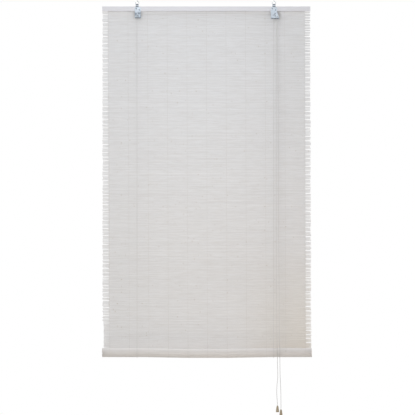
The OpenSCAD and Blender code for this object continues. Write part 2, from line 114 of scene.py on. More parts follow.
def add(tree, kind, sockets=None, **settings):
    """One node with its settings; a socket takes a value, or a link from another node's output."""
    node = tree.nodes.new(kind)
    for key, value in settings.items():
        setattr(node, key, value)
    for key, value in (sockets or {}).items():
        if isinstance(value, bpy.types.NodeSocket):
            tree.links.new(value, node.inputs[key])
        else:
            node.inputs[key].default_value = value
    return node


def new_finish(name):
    """An empty material, with the two ends of its tree."""
    material = bpy.data.materials.new(name)
    material.use_nodes = True
    tree = material.node_tree
    return material, tree, tree.nodes["Principled BSDF"]


print("white is", linear("#FFFFFF")[:3])

# %% [markdown]
# ## Braided polyester cord
# The cords are thin, white and matt. Polyester is a little glossy as a filament, but a braid scatters the
# light, so the cord has a high roughness and some sheen. Shade is painted into the grooves between the
# strands, so they are darker than their crowns, and the free ends of the pull cords are darker from the
# roll down. The mesh carries both as attributes, because a pattern on a cord has to follow the cord.

# %% Cord finish


def braided_polyester():
    material, tree, shader = new_finish("braided polyester")
    strand = add(tree, "ShaderNodeAttribute", attribute_name="strand")
    place = add(tree, "ShaderNodeTexCoord")
    fuzz = add(tree, "ShaderNodeTexNoise", {
        "Vector": place.outputs["Object"], "Scale": 1 / (3 * MM), "Detail": 3.0
    })
    toned = add(tree, "ShaderNodeMix", {
        0: fuzz.outputs["Fac"], 6: linear("#D6D6D6"), 7: linear("#E2E2E1")
    }, data_type="RGBA")
    # Painted shade in the grooves between the strands.
    groove_shade = add(tree, "ShaderNodeMix", {
        0: strand.outputs["Fac"], 6: linear("#C6C5C3"), 7: toned.outputs[2]
    }, data_type="RGBA")
    # The free ends of the pull cords are darker from the roll down.
    darker_below = add(tree, "ShaderNodeAttribute", attribute_name="darker_below")
    darkened = add(tree, "ShaderNodeMix", {
        0: darker_below.outputs["Fac"], 6: groove_shade.outputs[2], 7: linear("#CCCBC9")
    }, data_type="RGBA", blend_type="MULTIPLY")
    tree.links.new(darkened.outputs[2], shader.inputs["Base Color"])
    bump = add(tree, "ShaderNodeBump", {
        "Height": fuzz.outputs["Fac"], "Strength": 0.2, "Distance": 0.1 * MM
    })
    tree.links.new(bump.outputs["Normal"], shader.inputs["Normal"])
    shader.inputs["Roughness"].default_value = 0.8
    shader.inputs["IOR"].default_value = 1.57
    shader.inputs["Sheen Weight"].default_value = 0.2
    return material


cord_finish = braided_polyester()
print("finish:", cord_finish.name)

# %% [markdown]
# ## Twisted cord from a line
# A cord is a fixed length of something limp. It could be a curve with a round bevel, but then its strands
# would be paint. Here a ring of points is carried along the line, and the ring bulges where a strand
# passes, so the twist is in the mesh. The strands turn once in 8 mm, which is a little coarser than the
# real braid.

# %% Smooth lines
RING_STEP = 1.6 * MM


def run_along(line):
    """How far along a line of points each of them is."""
    return np.concatenate([[0], np.cumsum(np.linalg.norm(np.diff(line, axis=0), axis=1))])


def smooth_line(points, step=RING_STEP):
    """Evenly spaced points on a smooth line through the given ones."""
    p = np.array(points, float)
    chord = np.linalg.norm(np.diff(p, axis=0), axis=1)
    t = run_along(p)
    slope = np.gradient(p, t, axis=0)
    fine = np.linspace(0, t[-1], max(8, int(4 * t[-1] / step)))
    i = np.clip(np.searchsorted(t, fine, side="right") - 1, 0, len(chord) - 1)
    u = ((fine - t[i]) / chord[i])[:, None]
    h = chord[i][:, None]
    line = (2 * u**3 - 3 * u**2 + 1) * p[i] + (u**3 - 2 * u**2 + u) * h * slope[i]
    line += (3 * u**2 - 2 * u**3) * p[i + 1] + (u**3 - u**2) * h * slope[i + 1]
    run = run_along(line)
    even = np.linspace(0, run[-1], max(3, int(round(run[-1] / step)) + 1))
    return np.stack([np.interp(even, run, line[:, k]) for k in range(3)], axis=1)


def carried_frame(line):
    """Two directions across the line at each of its points, carried along without twisting."""
    along = np.gradient(line, axis=0)
    along /= np.linalg.norm(along, axis=1)[:, None]
    across = np.zeros_like(line)
    start = np.cross(along[0], (0.0, 1.0, 0.0))
    across[0] = start if np.linalg.norm(start) > 0.1 else np.cross(along[0], (1.0, 0.0, 0.0))
    for i in range(len(line)):
        v = across[max(i - 1, 0)]
        v = v - along[i] * np.dot(v, along[i])
        across[i] = v / np.linalg.norm(v)
    return across, np.cross(along, across)


print("a ring of points every", RING_STEP / MM, "mm")

# %% Cord builder
CORD_R = 0.9 * MM
TWIST = 8 * MM
STRANDS = 3
GROOVE = 0.14
SIDES = 9
SMOOTH_UNDER = math.radians(60)


def tube_faces(rings, sides):
    """Quads between rings of points, and a face over each end."""
    k = np.arange(sides)
    faces = []
    for i in range(rings - 1):
        a, b = i * sides + k, i * sides + (k + 1) % sides
        faces += np.stack([a, b, b + sides, a + sides], axis=1).tolist()
    faces.append(k[::-1].tolist())
    faces.append((k + (rings - 1) * sides).tolist())
    return faces


def activate(piece):
    """This piece alone is selected, and operators act on it."""
    deselect()
    piece.select_set(True)
    bpy.context.view_layer.objects.active = piece


def raw_piece(name, points, edges, faces, finish):
    """A new piece at the origin, with its place in its mesh, selected and active."""
    mesh = bpy.data.meshes.new(name)
    mesh.from_pydata(points, edges, faces)
    mesh.materials.append(finish)
    piece = bpy.data.objects.new(name, mesh)
    bpy.context.scene.collection.objects.link(piece)
    activate(piece)
    return piece


def mesh_piece(name, points, faces, finish):
    """A new piece of points and faces, smooth apart from its sharp edges."""
    piece = raw_piece(name, np.asarray(points).reshape(-1, 3).tolist(), [], faces, finish)
    bpy.ops.object.shade_smooth_by_angle(angle=SMOOTH_UNDER)
    return piece


def point_values(piece, name, values):
    """A number for each point, which the finish reads by name."""
    attribute = piece.data.attributes.new(name, "FLOAT", "POINT")
    attribute.data.foreach_set("value", np.asarray(values, np.float32).ravel())


def twisted_cord(name, line, radius=CORD_R):
    """A cord of twisted strands along a line of points."""
    across, up = carried_frame(line)
    run = run_along(line)
    angle = 2 * math.pi * np.arange(SIDES) / SIDES
    crown = 0.5 + 0.5 * np.cos(STRANDS * angle[None, :] - 2 * math.pi * run[:, None] / TWIST)
    r = (radius * (1 - GROOVE + GROOVE * crown))[..., None]
    ring = np.cos(angle)[None, :, None] * across[:, None, :] + np.sin(angle)[None, :, None] * up[:, None, :]
    piece = mesh_piece(name, line[:, None, :] + r * ring, tube_faces(len(line), SIDES), cord_finish)
    point_values(piece, "strand", crown)
    return piece


print("cord of", 2 * CORD_R / MM, "mm with", STRANDS, "strands")

# %% [markdown]
# ## The turned tassels
# Each pull cord ends in a small wooden cone, turned on a lathe and lacquered. Turning is what Blender's
# spin does: a profile is drawn once and swept round the axis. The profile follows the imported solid, with
# the bore for the cord, the hollow for its knot and two fine lines that a turner cuts near the foot.

# %% Tassel finish


def lacquered_beech():
    material, tree, shader = new_finish("lacquered beech")
    place = add(tree, "ShaderNodeTexCoord")
    grain_map = add(tree, "ShaderNodeMapping", {
        "Vector": place.outputs["Object"], "Scale": (1 / (1.2 * MM), 1 / (1.2 * MM), 1 / (14 * MM))
    })
    grain = add(tree, "ShaderNodeTexNoise", {
        "Vector": grain_map.outputs["Vector"], "Scale": 1.0, "Detail": 4.0, "Distortion": 0.4
    })
    ramp = add(tree, "ShaderNodeValToRGB", {"Fac": grain.outputs["Fac"]})
    ramp.color_ramp.elements[0].position = 0.3
    ramp.color_ramp.elements[0].color = linear("#8C7F68")
    ramp.color_ramp.elements[1].position = 0.7
    ramp.color_ramp.elements[1].color = linear("#B1A58C")
    tree.links.new(ramp.outputs["Color"], shader.inputs["Base Color"])
    bump = add(tree, "ShaderNodeBump", {
        "Height": grain.outputs["Fac"], "Strength": 0.15, "Distance": 0.15 * MM
    })
    tree.links.new(bump.outputs["Normal"], shader.inputs["Normal"])
    shader.inputs["Roughness"].default_value = 0.38
    shader.inputs["Coat Weight"].default_value = 0.3
    return material


beech_finish = lacquered_beech()
print("finish:", beech_finish.name)

# %% Tassels
TASSEL_SIDES = 40
TASSEL_SMOOTH_UNDER = math.radians(35)
TASSEL_SEAM = 0.01 * MM
TASSEL_PROFILE = [
    (1.2, 0), (2.2, 0), (2.8, -0.3), (3.3, -1), (4.2, -4.2), (4.95, -8.2), (5.65, -13), (6.2, -18),
    (6.5, -21.4), (6.32, -21.7), (6.55, -22.0), (6.75, -23), (6.82, -23.6), (6.64, -23.9), (6.92, -24.2),
    (7.1, -25), (7.05, -26.0), (6.9, -26.6), (6.5, -27.4), (5.9, -28), (2.6, -28), (2.6, -22), (1.2, -22)
]


def close_seams(apart):
    """In edit mode, merge points that lie that close and point the faces outwards. Then leave edit mode."""
    bpy.ops.mesh.select_all(action="SELECT")
    bpy.ops.mesh.remove_doubles(threshold=apart)
    bpy.ops.mesh.normals_make_consistent(inside=False)
    bpy.ops.object.mode_set(mode="OBJECT")


def turn_round(centre, axis, sides, seam):
    """Sweep the active piece's profile once round an axis."""
    bpy.ops.object.mode_set(mode="EDIT")
    bpy.ops.mesh.select_all(action="SELECT")
    bpy.ops.mesh.spin(steps=sides, angle=2 * math.pi, center=centre, axis=axis)
    close_seams(seam)


def turned_tassel(name, top):
    """The profile swept round a vertical axis under the end of its cord."""
    profile = [(top[0] + r * MM, top[1], top[2] + z * MM) for r, z in TASSEL_PROFILE]
    edges = [(i, (i + 1) % len(profile)) for i in range(len(profile))]
    piece = raw_piece(name, profile, edges, [], beech_finish)
    turn_round(top, (0, 0, 1), TASSEL_SIDES, TASSEL_SEAM)
    bpy.ops.object.shade_smooth_by_angle(angle=TASSEL_SMOOTH_UNDER)
    return piece


def middle_of(node):
    """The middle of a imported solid's box."""
    low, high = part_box(node)
    return [(low[k] + high[k]) / 2 for k in range(3)]


tassels = {}
for side in ("left", "right"):
    cord_x, cord_y, _ = middle_of(f"{side}_tassel")
    top = (cord_x, cord_y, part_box(f"{side}_tassel")[1][2])
    tassels[side] = turned_tassel(f"{side}_turned_tassel", top)
    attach(tassels[side], f"{side}_tassel_body")
    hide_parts(f"{side}_tassel")
print("tassels:", [len(t.data.polygons) for t in tassels.values()], "faces")

# %% [markdown]
# ## Knots
# A cord is kept from slipping through a hole by an overhand knot. Its shape is a trefoil drawn tight: the
# line of a trefoil, small enough that its strands press together, gives the lumpy little ball that a knot
# is.

# %% Knots
KNOT_POINTS = 64
KNOT_DEPTH = 1.6
KNOT_PRESSED = 0.55
KNOT_CORD_R = 0.75 * CORD_R


def overhand_knot(name, centre, size, tail=None):
    """A trefoil of cord inside a ball of that radius, with a straight end up to a point above it."""
    t = np.linspace(0, 2 * math.pi, KNOT_POINTS, endpoint=True)
    loop = np.stack([
        np.sin(t) + 2 * np.sin(2 * t), np.cos(t) - 2 * np.cos(2 * t), -KNOT_DEPTH * np.sin(3 * t)
    ], axis=1)
    line = np.array(centre) + loop / 3.0 * (size - KNOT_PRESSED * CORD_R)
    knot = twisted_cord(name, line, KNOT_CORD_R)
    if tail is not None:
        end = twisted_cord(name + "_end", smooth_line([centre, tail]))
        activate(knot)
        end.select_set(True)
        bpy.ops.object.join()
    return knot


for side in ("left", "right"):
    low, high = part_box(f"{side}_tassel_knot")
    cord_x, cord_y, _ = middle_of(f"{side}_tassel_knot")
    ball = (high[0] - low[0]) / 2
    knot = overhand_knot(
        f"{side}_tassel_overhand_knot", (cord_x, cord_y, low[2] + ball), ball, (cord_x, cord_y, high[2])
    )
    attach(knot, f"{side}_tassel_body")
    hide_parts(f"{side}_tassel_knot")
    low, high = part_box(f"{side}_anchor_knot")
    anchor = overhand_knot(
        f"{side}_anchor_overhand_knot", middle_of(f"{side}_anchor_knot"), (high[0] - low[0]) / 2
    )
    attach(anchor, "head")
    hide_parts(f"{side}_anchor_knot")
print("knots in the tassels and on the rear feet")

# %% [markdown]
# ## The pull cords
# The two pull cords hang free from the right fitting. They keep the soft waves of a cord that has been
# folded in its packet. The points are those of the imported solids. When a cord is pulled, its tassel goes
# down and more cord comes out over the pulley.

# %% Pull cords
LEFT_ROUTE = [
    (0, 0), (0, -15), (-0.3, -60), (-0.8, -160), (-1.2, -300), (-1.4, -480), (-1.4, -660), (-1.2, -840),
    (-0.8, -1020), (-0.2, -1180), (0.8, -1320), (2.4, -1430), (4, -1500), (5.2, -1545), (4.6, -1572),
    (2, -1594), (0.8, -1616), (1.2, -1640), (2.8, -1662), (4, -1684)
]
RIGHT_ROUTE = [
    (0, 0), (0, -15), (1.2, -60), (3.6, -140), (5.6, -240), (6.8, -360), (7.4, -500), (7.8, -660),
    (8.4, -820), (9.2, -980), (10.4, -1130), (11.8, -1270), (13.2, -1390), (14.2, -1470), (14.8, -1530),
    (15.8, -1565), (17.2, -1590), (18.2, -1620), (18.8, -1660), (19, -1700)
]
PULL_X = 306.9 * MM
REAR_PLANE = -11.05 * MM
FRONT_PLANE = -16.35 * MM
PULLEY_Z = -76.2 * MM
DARKER_FROM = 1.4
DARKER_OVER = 0.08


def pull_cord(side, route, plane):
    """A free cord from the side of its pulley down to its tassel."""
    line = smooth_line([(PULL_X + x * MM, plane, PULLEY_Z + z * MM) for x, z in route])
    piece = twisted_cord(f"{side}_hanging_pull_cord", line)
    run = run_along(line)
    # The cord is darker from the roll down, by its share along the run.
    point_values(piece, "darker_below", np.repeat(np.clip((run - DARKER_FROM) / DARKER_OVER, 0, 1), SIDES))
    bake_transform(piece)
    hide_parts(f"{side}_pull_cord")


pull_cord("left", LEFT_ROUTE, REAR_PLANE)
pull_cord("right", RIGHT_ROUTE, FRONT_PLANE)

# %% [markdown]
# ## The lift cords
# Each lift cord starts at a knot behind the rail, runs down the back, passes under the roll and comes up
# the front to a pulley. The left one then crosses the front of the mat to the right fitting. As the roll
# rises, the runs shorten, and the sling under the roll rides with it. Above the roll, the mat and the
# cords behind it stand back a little, which leaves room for the roll when it is up.

# %% Lift cords
WRAP_R = 6.3 * MM
ARC_STEPS = 24
BOW = 3.4 * MM
BOW_PEAK = 27 / 256


def arc(centre, radius, start, sweep, plane="xz"):
    """Points on a circle seen from the front, or from the side."""
    a = np.radians(np.linspace(start, start + sweep, ARC_STEPS))
    first, second = radius * np.cos(a), radius * np.sin(a)
    shift = np.zeros((ARC_STEPS, 3))
    shift[:, 0 if plane == "xz" else 1] = first
    shift[:, 2] = second
    return (np.array(centre) + shift).tolist()


def bowed(share):
    """How far back the mat and its cords stand, by their share of the way from the rail down to the roll."""
    lower = np.clip(2 * share - 1, 0, 1)
    return BOW / BOW_PEAK * lower**3 * (1 - lower)


def rising_run(name, top, foot, node, bow=False):
    """A run of cord, straight or bowed like the mat."""
    line = smooth_line([top, foot])
    drop = top[2] - foot[2]
    if bow:
        line[:, 1] += bowed((top[2] - line[:, 2]) / drop)
    piece = twisted_cord(name, line)
    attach(piece, "head")
    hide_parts(node)
    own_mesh(piece)


roll_y, roll_z = middle_of("bottom_rod")[1:]
pulley_x = {"left": middle_of("left_pulley")[0], "right": middle_of("right_pulley_front")[0]}
for side, plane in (("left", REAR_PLANE), ("right", FRONT_PLANE)):
    lift_x = pulley_x[side] - WRAP_R
    low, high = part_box(f"{side}_cord_sling")
    sling_r = (high[1] - low[1]) / 2 - CORD_R
    back_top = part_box(f"{side}_back_cord")[1][2]
    rising_run(
        f"{side}_front_lift_cord", (lift_x, plane, PULLEY_Z), (lift_x, roll_y - sling_r, roll_z),
        f"{side}_front_cord"
    )
    rising_run(
        f"{side}_back_lift_cord", (lift_x, middle_of(f"{side}_anchor_knot")[1], back_top),
        (lift_x, roll_y + sling_r, roll_z), f"{side}_back_cord", True
    )
    sling = twisted_cord(
        f"{side}_lift_sling", smooth_line(arc((lift_x, roll_y, roll_z), sling_r, 180, 180, "yz"))
    )
    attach(sling, "slings")
    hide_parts(f"{side}_cord_sling")
over_left = arc((pulley_x["left"], REAR_PLANE, PULLEY_Z), WRAP_R, 180, -90)
over_right = arc((pulley_x["right"], REAR_PLANE, PULLEY_Z), WRAP_R, 90, -90)
crossing = twisted_cord("crossing_lift_cord", smooth_line(over_left + over_right))
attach(crossing, "head")
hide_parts("crossing_cord")
turn = twisted_cord(
    "right_lift_cord_turn",
    smooth_line(arc((pulley_x["right"], FRONT_PLANE, PULLEY_Z), WRAP_R, 180, -180), RING_STEP / 2)
)
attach(turn, "head")
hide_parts("right_cord_turn")
print("lift cords round a roll at", round(roll_z, 4), "m")

# %% [markdown]
# ## White-washed bamboo
# The mat is woven from split bamboo with a thin white wash. The wash lets the wood through: each reed has
# its own tone, with long streaks along the fibre and a darker ring where the cane had a node. Each reed
# carries a number of its own as an attribute, and a noise in four dimensions takes that number as its
# fourth, so no two reeds share their streaks. The streaks are drawn coarser than the real fibre, which is
# finer than a pixel of the render. The back of the mat has a thinner wash and is a little warmer. The roll
# shows it, because the mat winds up with its back outwards. Towards the lower right corner a warm shade is
# painted into the wash, where the light is weaker and warmer.

# %% Reed finish
# Where the painted warm shade lies on the mat.
REEDS_APART = 97.0
WARM_SHADE_X = (60 * MM, 460 * MM)
WARM_SHADE_Z = (-1050 * MM, -1500 * MM)


def whitewashed_bamboo(name, dark, light, warm_shade):
    material, tree, shader = new_finish(name)
    place = add(tree, "ShaderNodeTexCoord")
    reed = add(tree, "ShaderNodeAttribute", attribute_name="reed")
    own = add(tree, "ShaderNodeMath", {0: reed.outputs["Fac"], 1: REEDS_APART}, operation="MULTIPLY")
    streak_map = add(tree, "ShaderNodeMapping", {
        "Vector": place.outputs["Object"], "Scale": (1 / (45 * MM), 1 / (4 * MM), 1 / (4 * MM))
    })
    streak = add(tree, "ShaderNodeTexNoise", {
        "Vector": streak_map.outputs["Vector"], "W": own.outputs["Value"], "Scale": 1.0, "Detail": 3.0
    }, noise_dimensions="4D")
    node_map = add(tree, "ShaderNodeMapping", {
        "Vector": place.outputs["Object"], "Scale": (1 / (9 * MM), 0, 0)
    })
    ring = add(tree, "ShaderNodeTexNoise", {
        "Vector": node_map.outputs["Vector"], "W": own.outputs["Value"], "Scale": 1.0, "Detail": 0.0
    }, noise_dimensions="4D")
    ringed = add(tree, "ShaderNodeMapRange", {
        "Value": ring.outputs["Fac"], "From Min": 0.74, "From Max": 0.8, "To Min": 0.0, "To Max": 0.5
    })
    tone = add(tree, "ShaderNodeMix", {
        0: reed.outputs["Fac"], 6: linear(dark), 7: linear(light)
    }, data_type="RGBA")
    thin = add(tree, "ShaderNodeMapRange", {
        "Value": streak.outputs["Fac"], "From Min": 0.35, "From Max": 0.75, "To Min": 0.0, "To Max": 0.45
    })
    # An attribute of painted light lightens the reeds towards a pale wash: painted light over the shade
    # under the rail and above the roll, and a painted highlight on top of the roll.
    painted_light = add(tree, "ShaderNodeAttribute", attribute_name="painted_light")
    colour = tone.outputs[2]
    for share, over in (
        (thin.outputs["Result"], "#CECCC9"),
        (ringed.outputs["Result"], "#C2BCB3"),
        (painted_light.outputs["Fac"], "#F2F0EE"),
    ):
        layer = add(tree, "ShaderNodeMix", {0: share, 6: colour, 7: linear(over)}, data_type="RGBA")
        colour = layer.outputs[2]
    axes = add(tree, "ShaderNodeSeparateXYZ", {"Vector": place.outputs["Object"]})
    rightward = add(tree, "ShaderNodeMapRange", {
        "Value": axes.outputs["X"], "From Min": WARM_SHADE_X[0], "From Max": WARM_SHADE_X[1]
    }, interpolation_type="SMOOTHSTEP")
    downward = add(tree, "ShaderNodeMapRange", {
        "Value": axes.outputs["Z"], "From Min": WARM_SHADE_Z[0], "From Max": WARM_SHADE_Z[1]
    })
    corner = add(tree, "ShaderNodeMath", {
        0: rightward.outputs["Result"], 1: downward.outputs["Result"]
    }, operation="MULTIPLY")
    # A painted shade: towards the lower right corner the colour is multiplied by a warm tint, where the
    # light is weaker and warmer.
    painted_warm_shade = add(tree, "ShaderNodeMix", {
        0: corner.outputs["Value"], 6: colour, 7: linear(warm_shade)
    }, data_type="RGBA", blend_type="MULTIPLY")
    tree.links.new(painted_warm_shade.outputs[2], shader.inputs["Base Color"])
    fibre_map = add(tree, "ShaderNodeMapping", {
        "Vector": place.outputs["Object"], "Scale": (1 / (20 * MM), 1 / (0.6 * MM), 1 / (0.6 * MM))
    })
    fibre = add(tree, "ShaderNodeTexNoise", {
        "Vector": fibre_map.outputs["Vector"], "Scale": 1.0, "Detail": 2.0
    })
    bump = add(tree, "ShaderNodeBump", {
        "Height": fibre.outputs["Fac"], "Strength": 0.25, "Distance": 0.15 * MM
    })
    tree.links.new(bump.outputs["Normal"], shader.inputs["Normal"])
    shader.inputs["Roughness"].default_value = 0.62
    return material


reed_finish = whitewashed_bamboo("white-washed bamboo", "#E2E3E4", "#E6E7E8", "#FCF8F0")
back_finish = whitewashed_bamboo("thinly washed bamboo", "#DCDAD8", "#E1DFDD", "#FAFAFA")
print("finishes:", reed_finish.name, "and", back_finish.name)

# %% [markdown]
# ## One reed
# A reed is a long thin strip with softened edges. It starts as an eight-sided cylinder, is turned so that
# its flats will face front and top, lies down along X, and is cut across where it will bend: twice at the
# root of each loose end, and at four places between. It is one unit long, wide and thick. Every reed of the
# mat is a copy with its own size.

# %% Model one reed
MAT_W = 898 * MM
FRINGE = 25 * MM
ROOT = FRINGE / MAT_W
NECK = 20 * MM / MAT_W
REED_CUTS = (NECK, ROOT, 0.2, 0.4, 0.6, 0.8, 1 - ROOT, 1 - NECK)
REED_SIDES = 8
HALF_SIDE = math.radians(180 / REED_SIDES)
FLAT = math.cos(HALF_SIDE)


def taken_from(model):
    """The points and faces of a model, which is then removed."""
    points = np.array([v.co for v in model.data.vertices])
    faces = [list(p.vertices) for p in model.data.polygons]
    bpy.data.objects.remove(model)
    return points, faces


def lying_cylinder(sides, radius, length, cuts, turn=0.0):
    """Points and faces of a cylinder along X, turned on its axis and cut across at some places."""
    deselect()
    bpy.ops.mesh.primitive_cylinder_add(vertices=sides, radius=radius, depth=length, end_fill_type="NGON")
    model = bpy.context.object
    bpy.ops.object.mode_set(mode="EDIT")
    bpy.ops.mesh.select_all(action="SELECT")
    if turn:
        bpy.ops.transform.rotate(value=turn, orient_axis="Z", center_override=(0, 0, 0))
    bpy.ops.transform.rotate(value=math.radians(90), orient_axis="Y", center_override=(0, 0, 0))
    for cut in cuts:
        bpy.ops.mesh.select_all(action="SELECT")
        bpy.ops.mesh.bisect(plane_co=(cut, 0, 0), plane_no=(1, 0, 0))
    bpy.ops.object.mode_set(mode="OBJECT")
    return taken_from(model)


reed_points, reed_faces = lying_cylinder(REED_SIDES, 0.5, 1.0, [cut - 0.5 for cut in REED_CUTS], HALF_SIDE)
reed_share = reed_points[:, 0] + 0.5
reed_across = reed_points[:, 1] / FLAT
reed_up = reed_points[:, 2] / FLAT
stations = np.array([0.0, *REED_CUTS, 1.0])
reed_station = np.abs(reed_share[:, None] - stations[None, :]).argmin(axis=1)
print("one reed:", len(reed_faces), "faces at", len(stations), "stations")

# %% [markdown]
# ## The mat
# The reeds lie side by side, each a little different in height, length and tilt. Outside the last warp line
# the loose ends narrow and bunch by twos, threes and fours, with light between the bunches. The weave
# wanders to the right by 6 mm on its way down, where the reeds are longer, and the foot of the mat sags by
# 3.4 mm between the slings. The top strip is stapled to the rail. The reeds next to the rail and just above
# the roll are lighter: a painted light over the shade that the rail and the roll cast there.

# %% How the mat hangs
CREEP = 6 * MM
SAG_SHARE = (0, 0.2, 0.4, 0.6, 0.8, 1)
SAG_BY = np.array([0, 0.2, 3.4, 3.4, 0.2, 0]) * MM
rail_low, rail_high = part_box("head_rail")
MAT_MIDDLE = (rail_low[0] + rail_high[0]) / 2


def sag_at(x):
    """How far the foot of the mat hangs down at x. The reeds bend at the same places."""
    return np.interp((x - MAT_MIDDLE) / MAT_W + 0.5, SAG_SHARE, SAG_BY)


def hung(points, depth):
    """Points of the mat or the roll, crept and sagged by a depth from 0 at the rail to 1 at the roll."""
    out = np.array(points, float)
    out[..., 2] -= depth * sag_at(out[..., 0])
    out[..., 0] += depth * CREEP * np.clip((out[..., 0] - MAT_MIDDLE + MAT_W / 2) / FRINGE, 0, 1)
    return out


print("mat of", round(MAT_W / MM), "mm sags by", round(SAG_BY.max() / MM, 1), "mm")

# %% Lay reeds
rng = np.random.default_rng(7)
MAT_T = 1.8 * MM
REED_PITCH = 5 * MM
HEIGHT_VARIES = 0.12
SQUEEZE = (0.75, 0.71)
BUNCHED = 0.55
TIGHTLY_BUNCHED = 0.9
TIGHT_TO = 0.12
TIGHT_SIZES = [2, 2, 3]
USUAL_SIZES = [2, 3, 3, 4, 4]
BUNCH_VARIES = 0.5 * MM
END_VARIES = 2 * MM
CLOSE_VARIES = 0.3
WAVE = 0.1 * MM
TIP_NARROWS = (0.75, 1.0)
TIP_VARIES = 0.4 * MM
THICK_VARIES = (0.82, 1.0)
TILT_DEGREES = 1.2
TILT_SHARE = 0.35
REED_FILLS = 0.985


def reed_heights(total, pitch):
    """Heights that vary from reed to reed and fill a length."""
    count = int(round(total / pitch))
    heights = pitch * (1 + HEIGHT_VARIES * rng.uniform(-1, 1, count))
    return heights * total / heights.sum()


def reed_middles(heights):
    """How far along the mat the middle of each reed is."""
    return np.cumsum(heights) - heights / 2


def bunches(heights, squeeze, tight):
    """How far each loose end moves along the mat to lie closer to the others of its bunch. The tighter the
    bunches, the smaller they are and the wider the gaps between them."""
    at = reed_middles(heights)
    shift = np.zeros(len(heights))
    start = 0
    while start < len(heights):
        size = int(rng.choice(TIGHT_SIZES if tight[start] > BUNCHED else USUAL_SIZES))
        own = slice(start, start + size)
        closer = (at[own].mean() - at[own]) * (1 - squeeze) * tight[own]
        shift[own] = closer + rng.uniform(-BUNCH_VARIES, BUNCH_VARIES)
        start += size
    return shift


def lay_reeds(centres, normals, alongs, heights, depth, ends_open, trim=(0.0, 0.0)):
    """Copies of the reed with their own sizes. ends_open gives how loose each one's left and right ends are,
    and an end that lies close is shorter by up to the trim. The right ends bunch tightly near the rail."""
    count = len(heights)
    tight = np.full((count, 2), BUNCHED)
    tight[np.asarray(depth) < TIGHT_TO, 1] = TIGHTLY_BUNCHED
    lengths = rng.uniform(-1, 1, (count, 2)) * END_VARIES * (CLOSE_VARIES + (1 - CLOSE_VARIES) * ends_open)
    x0 = MAT_MIDDLE - MAT_W / 2 + lengths[:, :1] + trim[0] * (1 - ends_open[:, :1])
    x1 = MAT_MIDDLE + MAT_W / 2 + lengths[:, 1:] - trim[1] * (1 - ends_open[:, 1:])
    wave = rng.normal(0, WAVE, (count, len(stations)))
    narrow = np.ones((count, len(stations)))
    for end, tip, neck in ((0, 0, 1), (1, -1, -2)):
        loose = ends_open[:, end]
        shift = bunches(heights, SQUEEZE[end], tight[:, end])
        narrow[:, neck] = 1 - loose * (1 - SQUEEZE[end])
        narrow[:, tip] = narrow[:, neck] * rng.uniform(*TIP_NARROWS, count)
        wave[:, neck] = loose * shift
        wave[:, tip] = loose * (shift + rng.uniform(-TIP_VARIES, TIP_VARIES, count))
    thick = MAT_T * rng.uniform(*THICK_VARIES, count)
    tilt = np.radians(rng.normal(0, TILT_DEGREES, count))
    t = reed_up[None, :] * heights[:, None] * REED_FILLS * narrow[:, reed_station] + wave[:, reed_station]
    n = reed_across[None, :] * thick[:, None] * np.sqrt(narrow[:, reed_station])
    n = n * np.cos(tilt)[:, None] - t * np.sin(tilt)[:, None] * TILT_SHARE
    points = np.zeros((count, len(reed_share), 3))
    points[..., 0] = x0 + reed_share[None, :] * (x1 - x0)
    points[..., 1:] = centres[:, None, :] + n[..., None] * normals[:, None, :]
    points[..., 1:] += t[..., None] * alongs[:, None, :]
    return hung(points, np.asarray(depth)[:, None])


def reed_piece(name, points, finish=reed_finish):
    """One piece of many reeds, with each reed's own number on its points."""
    count, size = points.shape[:2]
    faces = [[i * size + v for v in face] for i in range(count) for face in reed_faces]
    piece = mesh_piece(name, points, faces, finish)
    point_values(piece, "reed", np.repeat(rng.uniform(0, 1, count), size))
    print(name, "has", count, "reeds and", len(piece.data.polygons), "faces")
    return piece


print("reeds", REED_PITCH / MM, "mm apart and", MAT_T / MM, "mm thick")

# %% Stapled strip
MAT_Y = rail_high[1] + MAT_T / 2
STRIP_LOOSE = 0.6
mat_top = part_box("reed_mat")[1][2]
rail_foot = rail_low[2]
strip_heights = reed_heights(mat_top - rail_foot, REED_PITCH)
strip_at = reed_middles(strip_heights)
strip = reed_piece("stapled_reeds", lay_reeds(
    np.stack([np.full(len(strip_at), MAT_Y), mat_top - strip_at], axis=1),
    np.tile([-1.0, 0.0], (len(strip_at), 1)), np.tile([0.0, -1.0], (len(strip_at), 1)), strip_heights,
    np.zeros(len(strip_at)), np.full((len(strip_at), 2), STRIP_LOOSE)
))
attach(strip, "head")

# %% Hanging mat
ROLL_R = 21 * MM
CLOSE_FROM = np.array([0.92, 0.976])
CLOSE_OVER = np.array([0.01, 0.004])
CLOSE_LOOSE = 0.1
CLOSE_TRIM = (4 * MM, -1 * MM)
# Painted light on the mat, by depth: over the shade under the rail and just above the roll.
PAINTED_LIGHT_AT = (0, 0.016, 0.958, 0.986)
PAINTED_LIGHT_BY = (0.35, 0, 0, 0.45)
drop = rail_foot - roll_z
lean = math.atan2(roll_y + ROLL_R - MAT_T / 2 - MAT_Y, drop)
hanging_l = drop / math.cos(lean)
hang_heights = reed_heights(hanging_l, REED_PITCH)
hang_at = reed_middles(hang_heights)
depth = hang_at / hanging_l
loose_ends = np.clip((CLOSE_FROM - depth[:, None]) / CLOSE_OVER, CLOSE_LOOSE, 1)
hang_centres = np.stack([
    MAT_Y + hang_at * math.sin(lean) + bowed(depth), rail_foot - hang_at * math.cos(lean)
], axis=1)
hang_normals = np.tile([-math.cos(lean), -math.sin(lean)], (len(hang_at), 1))
hang_alongs = np.tile([math.sin(lean), -math.cos(lean)], (len(hang_at), 1))
mat = reed_piece("hanging_reeds", lay_reeds(
    hang_centres, hang_normals, hang_alongs, hang_heights, depth, loose_ends, CLOSE_TRIM
))
# Painted light: the reeds just under the rail and just above the roll are lightened, over the shade there.
point_values(mat, "painted_light", np.repeat(np.interp(depth, PAINTED_LIGHT_AT, PAINTED_LIGHT_BY), len(reed_share)))
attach(mat, "head")
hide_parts("reed_mat")
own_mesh(mat)
print("mat leans back by", round(math.degrees(lean), 2), "degrees")
